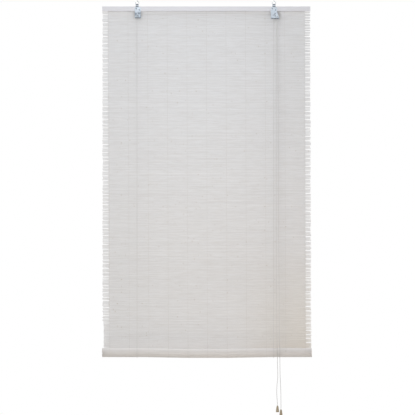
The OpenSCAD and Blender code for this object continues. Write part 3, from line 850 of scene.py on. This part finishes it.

# %% [markdown]
# ## The roll
# The foot of the mat is wound round a rod. The same reeds are laid along a spiral that starts at the back
# of the roll, where the hanging mat comes down, and winds in under the front. A swept spiral sheet would be
# quicker, but the reeds show on the front of the roll as a row of fine steps, and at its ends as a spiral
# of cut ends. The reeds are longest here, and the turns wander to the left as they wind in, so the ends are
# not quite flat. The roll sags between its slings like the foot of the mat, and the reeds on its top are
# lighter too: a painted highlight where the light from above falls on the roll.

# %% Wound reeds
TURN_PITCH = 2.1 * MM
CORE_GAP = 0.3 * MM
REEDS_PER_TURN = 26
ROLL_LOOSE = 0.15
LEFT_ENDS = (-0.5 * MM, -2 * MM)
RIGHT_ENDS = (2.9 * MM, -4.6 * MM)
# Painted highlight on top of the roll: between these turns, and by how much.
PAINTED_HIGHLIGHT_TURN = (221, 290)
PAINTED_HIGHLIGHT_BY = 0.45
rod_low, rod_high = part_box("bottom_rod")
ROD_R = (rod_high[2] - rod_low[2]) / 2
turns = (ROLL_R - MAT_T - ROD_R - CORE_GAP) / TURN_PITCH
wound = (np.arange(int(turns * REEDS_PER_TURN)) + 0.5) * 2 * math.pi / REEDS_PER_TURN
wound_r = ROLL_R - MAT_T / 2 - TURN_PITCH * wound / (2 * math.pi)
outward = np.stack([np.cos(wound), -np.sin(wound)], axis=1)
onward = np.stack([-np.sin(wound), -np.cos(wound)], axis=1)
wound_centres = np.array([roll_y, roll_z]) + wound_r[:, None] * outward
wound_heights = wound_r * 2 * math.pi / REEDS_PER_TURN
wound_points = lay_reeds(
    wound_centres, outward, onward, wound_heights, np.ones(len(wound)), np.full((len(wound), 2), ROLL_LOOSE)
)
left_ends = np.linspace(*LEFT_ENDS, len(wound))[:, None]
right_ends = np.linspace(*RIGHT_ENDS, len(wound))[:, None]
wound_points[..., 0] += left_ends + (right_ends - left_ends) * reed_share
roll = reed_piece("wound_reeds", wound_points, back_finish)
# Painted highlight: the reeds on top of the roll are lightened where the light from above falls.
on_top = (np.degrees(wound) > PAINTED_HIGHLIGHT_TURN[0]) & (np.degrees(wound) < PAINTED_HIGHLIGHT_TURN[1])
point_values(roll, "painted_light", np.repeat(np.where(on_top, PAINTED_HIGHLIGHT_BY, 0.0), len(reed_share)))
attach(roll, "roll")
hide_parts("mat_roll")
print("roll of", round(turns, 2), "turns")

# %% [markdown]
# ## The warp threads
# Eleven lines of cotton hold the reeds. On each line two threads pass in front of and behind every reed and
# change sides between reeds. A flat ribbon would do from afar, but it would not grip the reeds. Here each
# thread zigzags from reed to reed on a four-sided line of points.

# %% Thread finish


def twisted_cotton():
    material, tree, shader = new_finish("twisted cotton")
    place = add(tree, "ShaderNodeTexCoord")
    ply = add(tree, "ShaderNodeTexNoise", {
        "Vector": place.outputs["Object"], "Scale": 1 / (1.5 * MM), "Detail": 2.0
    })
    tone = add(tree, "ShaderNodeMix", {
        0: ply.outputs["Fac"], 6: linear("#C4C1BD"), 7: linear("#D6D4D0")
    }, data_type="RGBA")
    tree.links.new(tone.outputs[2], shader.inputs["Base Color"])
    bump = add(tree, "ShaderNodeBump", {
        "Height": ply.outputs["Fac"], "Strength": 0.3, "Distance": 0.1 * MM
    })
    tree.links.new(bump.outputs["Normal"], shader.inputs["Normal"])
    shader.inputs["Roughness"].default_value = 0.9
    shader.inputs["Sheen Weight"].default_value = 0.2
    return material


thread_finish = twisted_cotton()
print("finish:", thread_finish.name)

# %% Warp lines on the mat and on the roll
WARP_LINES = 11
WARP_SPAN = MAT_W - 2 * FRINGE
THREAD_R = 0.4 * MM
THREAD_OUT = 0.8 * THREAD_R
THREADS_APART = 0.5 * THREAD_R
warp_x = MAT_MIDDLE + WARP_SPAN * (np.arange(WARP_LINES) / (WARP_LINES - 1) - 0.5)
thread_ring = THREAD_R * np.array([[1, 0], [0, 1], [-1, 0], [0, -1]])


def weave(name, centres, normals, alongs, heights, depth):
    """Two threads on each warp line, over and under the reeds by turns."""
    half = heights / 2
    count = len(half)
    rows = 2 * count + 1
    path = np.zeros((rows, 2))
    side = np.zeros((rows, 2))
    path[1::2] = centres
    path[0:-1:2] = centres - half[:, None] * alongs
    path[-1] = centres[-1] + half[-1] * alongs[-1]
    side[1::2] = normals
    side[0:-1:2] = normals
    side[-1] = normals[-1]
    deep = np.interp(np.arange(rows), np.arange(1, rows, 2), np.broadcast_to(depth, count))
    lift = np.zeros(rows)
    lift[1::2] = (MAT_T / 2 + THREAD_OUT) * np.where(np.arange(count) % 2, 1, -1)
    points, faces = [], []
    one = tube_faces(rows, 4)
    for x in warp_x:
        for hand in (1, -1):
            ring = np.zeros((rows, 4, 3))
            ring[..., 0] = x + hand * THREADS_APART + thread_ring[:, 0]
            ring[..., 1:] = (path + (hand * lift)[:, None] * side)[:, None, :]
            ring[..., 1:] += thread_ring[None, :, 1, None] * side[:, None, :]
            faces += [[v + 4 * rows * len(points) for v in face] for face in one]
            points.append(hung(ring, deep[:, None]))
    piece = mesh_piece(name, np.array(points), faces, thread_finish)
    print(name, "has", len(piece.data.polygons), "faces")
    return piece


threads = weave("hanging_warp_threads", hang_centres, hang_normals, hang_alongs, hang_heights, depth)
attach(threads, "head")
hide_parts("warp_threads")
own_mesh(threads)

outer = slice(0, REEDS_PER_TURN)
wound_threads = weave(
    "wound_warp_threads", wound_centres[outer], outward[outer], onward[outer], wound_heights[outer], 1.0
)
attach(wound_threads, "roll")

# %% [markdown]
# ## Finishes for the pieces that stay as packed
# The rail, the pulleys, the hooks and the small steel pieces have the right shape already, so they only get
# a finish. The rail is softwood under white paint: the paint is satin, and the grain shows through as faint
# ridges along the rail. Zinc plating is bluish and soft-bright, with faint crystals. Dark reflections are
# painted in bands where the sheet was bent, shade is painted on the lower part of each fitting, and more
# shade is painted inside the housings. The nylon of the pulleys is grey and a little waxy. The rod in the
# roll is bare pine: pale yellow and dull, with long darker streaks.

# %% Rail finish


def painted_softwood():
    material, tree, shader = new_finish("painted softwood")
    place = add(tree, "ShaderNodeTexCoord")
    grain_map = add(tree, "ShaderNodeMapping", {
        "Vector": place.outputs["Object"], "Scale": (1 / (160 * MM), 1 / (2.5 * MM), 1 / (2.5 * MM))
    })
    grain = add(tree, "ShaderNodeTexNoise", {
        "Vector": grain_map.outputs["Vector"], "Scale": 1.0, "Detail": 3.0
    })
    tone = add(tree, "ShaderNodeMix", {
        0: grain.outputs["Fac"], 6: linear("#E1E1E5"), 7: linear("#E6E6EA")
    }, data_type="RGBA")
    tree.links.new(tone.outputs[2], shader.inputs["Base Color"])
    bump = add(tree, "ShaderNodeBump", {
        "Height": grain.outputs["Fac"], "Strength": 0.2, "Distance": 0.2 * MM
    })
    tree.links.new(bump.outputs["Normal"], shader.inputs["Normal"])
    shader.inputs["Roughness"].default_value = 0.45
    return material


paint_finish = painted_softwood()
print("finish:", paint_finish.name)

# %% Metal finishes
# Painted reflections: dark bands at the bends, each a height and half a width.
PAINTED_DARK_BANDS = ((-26.4 * MM, 2.0 * MM), (-34.4 * MM, 2.2 * MM))
# Painted shade downwards on the fittings: from, to, and how much.
LEFT_PAINTED_SHADE = (-44 * MM, -80 * MM, 0.4)
RIGHT_PAINTED_SHADE = (-44 * MM, -80 * MM, 0.2)
# The planes that bound each housing, inside which shade is painted.
HOUSING_TOP = ((0, 0, 1), -58.2 * MM)
LEFT_HOUSING = (HOUSING_TOP, ((0, -1, 0), 13.8 * MM), ((-1, 0, 0), 304.7 * MM))
RIGHT_HOUSING = (HOUSING_TOP, ((0, -1, 0), 19.1 * MM), ((0.942, 0, 0.336), 270.2 * MM))
SHEET_ROUGH = 0.46
STEEL_ROUGH = 0.3
WIRE_ROUGH = 0.28
SHEET_CRYSTAL = 4 * MM
SMALL_CRYSTAL = 2 * MM


def plated_metal(name, dark, light, roughness, crystal, dark_bands=(), toned=(), shaded_housing=()):
    """Plating with faint crystals. Dark reflections are painted in bands where the sheet was bent, each band
    a height with half a width. A painted shade darkens it downwards between two heights, by a share. Shade
    is painted inside a housing, which lies under every one of its planes, each a normal and a distance."""
    material, tree, shader = new_finish(name)
    place = add(tree, "ShaderNodeTexCoord")
    cells = add(tree, "ShaderNodeTexVoronoi", {"Vector": place.outputs["Object"], "Scale": 1 / crystal})
    cloud = add(tree, "ShaderNodeTexNoise", {
        "Vector": place.outputs["Object"], "Scale": 1 / (6 * MM), "Detail": 3.0
    })
    blend = add(tree, "ShaderNodeMath", {
        0: cells.outputs["Color"], 1: cloud.outputs["Fac"]
    }, operation="MULTIPLY")
    tone = add(tree, "ShaderNodeMix", {
        0: blend.outputs["Value"], 6: linear(dark), 7: linear(light)
    }, data_type="RGBA")
    colour = tone.outputs[2]
    axes = add(tree, "ShaderNodeSeparateXYZ", {"Vector": place.outputs["Object"]})
    # Painted reflections: dark bands at the bends of the sheet, where curved metal would mirror darker
    # surroundings.
    for height, half in dark_bands:
        away = add(tree, "ShaderNodeMath", {0: axes.outputs["Z"], 1: height}, operation="SUBTRACT")
        away = add(tree, "ShaderNodeMath", {0: away.outputs["Value"]}, operation="ABSOLUTE")
        share = add(tree, "ShaderNodeMapRange", {
            "Value": away.outputs["Value"], "From Min": 0.6 * half, "From Max": 1.4 * half,
            "To Min": 0.85, "To Max": 0.0
        }, interpolation_type="SMOOTHSTEP")
        painted_dark = add(tree, "ShaderNodeMix", {
            0: share.outputs["Result"], 6: colour, 7: linear("#454A50")
        }, data_type="RGBA")
        colour = painted_dark.outputs[2]
    # Painted shade: the plating is darkened downwards between two heights.
    if toned:
        low = add(tree, "ShaderNodeMapRange", {
            "Value": axes.outputs["Z"], "From Min": toned[0], "From Max": toned[1],
            "To Min": 0.0, "To Max": toned[2]
        })
        painted_dark = add(tree, "ShaderNodeMix", {
            0: low.outputs["Result"], 6: colour, 7: linear("#8A9299")
        }, data_type="RGBA")
        colour = painted_dark.outputs[2]
    # Painted shade: inside a housing, below all of its planes, the plating is darkened.
    inside = 1.0 if shaded_housing else 0.0
    for normal, distance in shaded_housing:
        along = add(tree, "ShaderNodeVectorMath", {
            0: place.outputs["Object"], 1: normal
        }, operation="DOT_PRODUCT")
        under = add(tree, "ShaderNodeMath", {0: along.outputs["Value"], 1: distance}, operation="LESS_THAN")
        both = add(tree, "ShaderNodeMath", {0: inside, 1: under.outputs["Value"]}, operation="MULTIPLY")
        inside = both.outputs["Value"]
    inner_shade = add(tree, "ShaderNodeMix", {0: inside, 6: colour, 7: linear("#868E96")}, data_type="RGBA")
    tree.links.new(inner_shade.outputs[2], shader.inputs["Base Color"])
    rough = add(tree, "ShaderNodeMapRange", {
        "Value": cloud.outputs["Fac"], "To Min": roughness - 0.08, "To Max": roughness + 0.1
    })
    tree.links.new(rough.outputs["Result"], shader.inputs["Roughness"])
    shader.inputs["Metallic"].default_value = 1.0
    return material


# Left and right differ a little in tone and in painted shade, to match the light on each fitting.
zinc_finish = {
    side: plated_metal(
        f"zinc-plated sheet, {side}", dark, light, SHEET_ROUGH, SHEET_CRYSTAL, PAINTED_DARK_BANDS, toned, housing
    )
    for side, dark, light, toned, housing in (
        ("left", "#AFB7BF", "#DCE4EB", LEFT_PAINTED_SHADE, LEFT_HOUSING),
        ("right", "#B1B9C1", "#E0E8EE", RIGHT_PAINTED_SHADE, RIGHT_HOUSING),
    )
}
steel_finish = plated_metal("plated steel", "#767D83", "#A4ABB0", STEEL_ROUGH, SMALL_CRYSTAL)
wire_finish = plated_metal("bright zinc wire", "#B4BABE", "#DCE0E3", WIRE_ROUGH, SMALL_CRYSTAL)
print("finishes:", [zinc_finish[side].name for side in zinc_finish], steel_finish.name, wire_finish.name)

# %% Nylon and rod finishes


def moulded_nylon():
    material, tree, shader = new_finish("moulded nylon")
    place = add(tree, "ShaderNodeTexCoord")
    flow = add(tree, "ShaderNodeTexNoise", {
        "Vector": place.outputs["Object"], "Scale": 1 / (4 * MM), "Detail": 2.0
    })
    tone = add(tree, "ShaderNodeMix", {
        0: flow.outputs["Fac"], 6: linear("#6A6E72"), 7: linear("#787C80")
    }, data_type="RGBA")
    tree.links.new(tone.outputs[2], shader.inputs["Base Color"])
    shader.inputs["Roughness"].default_value = 0.35
    shader.inputs["IOR"].default_value = 1.53
    return material


def bare_pine():
    material, tree, shader = new_finish("bare pine")
    place = add(tree, "ShaderNodeTexCoord")
    ring_map = add(tree, "ShaderNodeMapping", {
        "Vector": place.outputs["Object"], "Scale": (1 / (300 * MM), 1 / (2 * MM), 1 / (2 * MM))
    })
    rings = add(tree, "ShaderNodeTexNoise", {
        "Vector": ring_map.outputs["Vector"], "Scale": 1.0, "Detail": 3.0, "Distortion": 0.6
    })
    tone = add(tree, "ShaderNodeMix", {
        0: rings.outputs["Fac"], 6: linear("#BFA57D"), 7: linear("#DCC9A6")
    }, data_type="RGBA")
    tree.links.new(tone.outputs[2], shader.inputs["Base Color"])
    shader.inputs["Roughness"].default_value = 0.7
    return material


nylon_finish = moulded_nylon()
pine_finish = bare_pine()
print("finishes:", nylon_finish.name, "and", pine_finish.name)

# %% Give the finishes
for finish, names in {
    paint_finish: ["head_rail"],
    zinc_finish["left"]: ["left_bracket"],
    zinc_finish["right"]: ["right_bracket"],
    steel_finish: ["mat_staples", "left_axle", "right_axle", "lock_roller"],
    wire_finish: ["left_hook", "right_hook"],
    nylon_finish: ["left_pulley", "right_pulley_rear", "right_pulley_front"],
}.items():
    for name in names:
        nodes[name].data.materials.clear()
        nodes[name].data.materials.append(finish)
print("finishes in all:", len(bpy.data.materials))

# %% [markdown]
# ## The rod
# The rod in the roll bends with it. It is a cylinder that lies along X, is cut across at the places where
# the reeds bend, and sags by the same amounts.

# %% Rod in the roll
ROD_SIDES = 48
rod_middle = (rod_low[0] + rod_high[0]) / 2
rod_cuts = [MAT_MIDDLE + (share - 0.5) * MAT_W - rod_middle for share in SAG_SHARE[1:-1]]
rod_points, rod_faces = lying_cylinder(ROD_SIDES, ROD_R, rod_high[0] - rod_low[0], rod_cuts)
rod_points = rod_points + (rod_middle, roll_y, roll_z)
rod_points[:, 2] -= sag_at(rod_points[:, 0])
bent_rod = mesh_piece("bent_rod", rod_points, rod_faces, pine_finish)
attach(bent_rod, "roll")
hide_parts("bottom_rod")
print("rod of", round(2 * ROD_R / MM, 1), "mm, bent at", len(rod_cuts), "places")

# %% [markdown]
# ## Plate screws
# Two pan-head screws hold each fitting to the rail. One screw is turned from a profile, and two small
# blocks cut the cross in its head, as a punch would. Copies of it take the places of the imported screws,
# each turned as it came to rest when it was driven in.

# %% Screws
HEAD_MM = 1.4
SCREW_PROFILE = [
    (0, -HEAD_MM), (1.0, -1.36), (1.8, -1.2), (2.4, -0.85), (2.75, -0.35), (2.8, 0), (1.4, 0), (1.4, 8.4),
    (0, 10.2)
]
SCREW_SIDES = 24
SCREW_SEAM = 0.005 * MM
SCREW_SPACE = 2 * MM
CROSS_SIZE = (3.4 * MM, 2 * MM, 0.75 * MM)
CROSS_AT = -1.5 * MM
CROSS_TURNS = (12, 47, 71, 28)


def one_screw():
    """A screw with its axis along Y and the underside of its head at the origin."""
    profile = [(r * MM, y * MM, 0) for r, y in SCREW_PROFILE]
    edges = [(i, i + 1) for i in range(len(profile) - 1)]
    screw = raw_piece("one_screw", profile, edges, [], steel_finish)
    turn_round((0, 0, 0), (0, 1, 0), SCREW_SIDES, SCREW_SEAM)
    for size in (CROSS_SIZE, CROSS_SIZE[::-1]):
        deselect()
        bpy.ops.mesh.primitive_cube_add(size=1, location=(0, CROSS_AT, 0))
        block = bpy.context.object
        block.scale = size
        bpy.ops.object.transform_apply(location=True, rotation=False, scale=True)
        cut = screw.modifiers.new("cross", "BOOLEAN")
        cut.operation = "DIFFERENCE"
        cut.solver = "EXACT"
        cut.object = block
        activate(screw)
        bpy.ops.object.modifier_apply(modifier=cut.name)
        bpy.data.objects.remove(block)
    return taken_from(screw)


screw_points, screw_faces = one_screw()
packed = nodes["bracket_screws"]
packed_points = np.array([packed.matrix_world @ v.co for v in packed.data.vertices])
packed_points = packed_points[np.argsort(packed_points[:, 0])]
groups = np.split(packed_points, np.flatnonzero(np.diff(packed_points[:, 0]) > SCREW_SPACE) + 1)
screws, faces = [], []
for group, turn in zip(groups, CROSS_TURNS):
    low, high = group.min(axis=0), group.max(axis=0)
    c, s = math.cos(math.radians(turn)), math.sin(math.radians(turn))
    turned = screw_points @ np.array([[c, 0, s], [0, 1, 0], [-s, 0, c]])
    faces += [[v + len(screws) * len(screw_points) for v in face] for face in screw_faces]
    screws.append(turned + ((low[0] + high[0]) / 2, low[1] + HEAD_MM * MM, (low[2] + high[2]) / 2))
plate_screws = mesh_piece("plate_screws", np.array(screws), faces, steel_finish)
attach(plate_screws, "head")
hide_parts("bracket_screws")
print("screws:", len(groups), "of", len(screw_faces), "faces")

# %% [markdown]
# ## Thread on the hooks
# The shank of a screw hook has a coarse wood thread. Blender's Screw modifier turns a small triangle round
# an axis and lifts it by one pitch at each turn, which is a thread as it is cut.

# %% Hook threads
HOOK_PITCH = 1.5 * MM
HOOK_TURNS = 14
HOOK_SIDES = 20
HOOK_FROM = 24 * MM
HOOK_SEAM = 0.001 * MM
ROOT_R = 1.7 * MM
RIDGE_H = 0.5 * MM
RIDGE_W = 0.7 * MM


def hook_thread(name, node):
    """A ridge wound round the shank of a packed hook, from so far below its tip."""
    ridge = [(ROOT_R, 0, 0), (ROOT_R + RIDGE_H, 0, RIDGE_W / 2), (ROOT_R, 0, RIDGE_W)]
    piece = raw_piece(name, ridge, [(0, 1), (1, 2), (2, 0)], [], wire_finish)
    screw = piece.modifiers.new("thread", "SCREW")
    screw.axis = "Z"
    screw.screw_offset = HOOK_PITCH
    screw.iterations = HOOK_TURNS
    screw.steps = HOOK_SIDES
    screw.render_steps = HOOK_SIDES
    bpy.ops.object.modifier_apply(modifier=screw.name)
    piece.location = (middle_of(node)[0], 0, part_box(node)[1][2] - HOOK_FROM)
    bpy.ops.object.transform_apply(location=True, rotation=False, scale=False)
    bpy.ops.object.mode_set(mode="EDIT")
    close_seams(HOOK_SEAM)
    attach(piece, "head")


for side in ("left", "right"):
    hook_thread(f"{side}_hook_thread", f"{side}_hook")
print("threads of", HOOK_TURNS, "turns")

# %% [markdown]
# ## Light and surroundings
# The photograph has soft light from the upper left, more of it from above than from below, and a warm glow
# from below that tints the lower part of the mat. The background is pure white: the world is white to the
# camera and to reflections, and to the blind itself a plain level of light that is cooler above and warmer
# below. A key lamp at the upper left gives the cords their shadows. Two weaker lamps in front even out the
# mat, cool above and warm below. A warm one at the right and a low glow light the foot of the mat and the
# roll from beneath. The pale floor lies far below, under the lowest reach of the tassels.

# %% World
WORLD_ABOVE = 0.88
WORLD_BELOW = 0.36
world = bpy.data.worlds.new("white studio")
bpy.context.scene.world = world
world.use_nodes = True
tree = world.node_tree
tree.nodes.clear()
rays = add(tree, "ShaderNodeLightPath")
seen = add(tree, "ShaderNodeMath", {
    0: rays.outputs["Is Camera Ray"], 1: rays.outputs["Is Glossy Ray"]
}, operation="MAXIMUM")
seen = add(tree, "ShaderNodeMath", {
    0: seen.outputs["Value"], 1: rays.outputs["Is Transmission Ray"]
}, operation="MAXIMUM")
way = add(tree, "ShaderNodeTexCoord")
height = add(tree, "ShaderNodeSeparateXYZ", {"Vector": way.outputs["Generated"]})
up = add(tree, "ShaderNodeMapRange", {"Value": height.outputs["Z"], "From Min": -1.0, "From Max": 1.0})
tint = add(tree, "ShaderNodeMix", {
    0: up.outputs["Result"], 6: linear("#FFF8EE"), 7: linear("#F6F9FF")
}, data_type="RGBA")
level = add(tree, "ShaderNodeMapRange", {
    "Value": up.outputs["Result"], "To Min": WORLD_BELOW, "To Max": WORLD_ABOVE
})
plain = add(tree, "ShaderNodeBackground", {"Color": tint.outputs[2], "Strength": level.outputs["Result"]})
white = add(tree, "ShaderNodeBackground", {"Color": linear("#FFFFFF"), "Strength": 1.0})
either = add(tree, "ShaderNodeMixShader", {
    0: seen.outputs["Value"], 1: plain.outputs["Background"], 2: white.outputs["Background"]
})
add(tree, "ShaderNodeOutputWorld", {"Surface": either.outputs["Shader"]})
print("world from", WORLD_BELOW, "below to", WORLD_ABOVE, "above")

# %% Floor and lamps
FLOOR_Z = -4.8
FLOOR_SIZE = 6
deselect()
bpy.ops.mesh.primitive_plane_add(size=FLOOR_SIZE, location=(0, 0, FLOOR_Z))
floor = bpy.context.object
floor.name = "floor"
floor_finish, _, floor_shader = new_finish("pale floor")
floor_shader.inputs["Base Color"].default_value = linear("#EDE9E2")
floor_shader.inputs["Roughness"].default_value = 0.8
floor.data.materials.append(floor_finish)


def lamp(name, at, aim, size, power, colour):
    """A soft lamp, size wide and high, that faces a point."""
    deselect()
    bpy.ops.object.light_add(type="AREA", location=at)
    light = bpy.context.object
    light.name = name
    light.data.shape = "RECTANGLE"
    light.data.size, light.data.size_y = size
    light.data.energy = power
    light.data.color = linear(colour)[:3]
    light.visible_camera = False
    way = np.array(aim) - np.array(at)
    flat = math.hypot(way[0], way[1])
    light.rotation_euler = (math.pi / 2 - math.atan2(-way[2], flat), 0, math.atan2(-way[0], way[1]))


lamp("key", (-1.4, -2.1, 0.4), (0, 0, -0.8), (1.1, 1.1), 8, "#FFFFFF")
lamp("upper front", (-0.02, -1.0, -0.2), (-0.02, 0, -0.2), (0.4, 0.8), 2.14, "#EAF2FF")
lamp("lower front", (-0.12, -1.0, -1.15), (-0.12, 0, -1.15), (0.5, 0.5), 1.26, "#FFF3E4")
lamp("warm side", (0.9, -1.0, -1.3), (0.3, 0, -1.4), (0.4, 0.4), 0.55, "#FFB870")
lamp("low glow", (0.2, -0.6, -2.6), (0.1, 0, -1.5), (0.8, 0.8), 2.3, "#FFF4EA")
bpy.context.scene.view_settings.view_transform = "Standard"
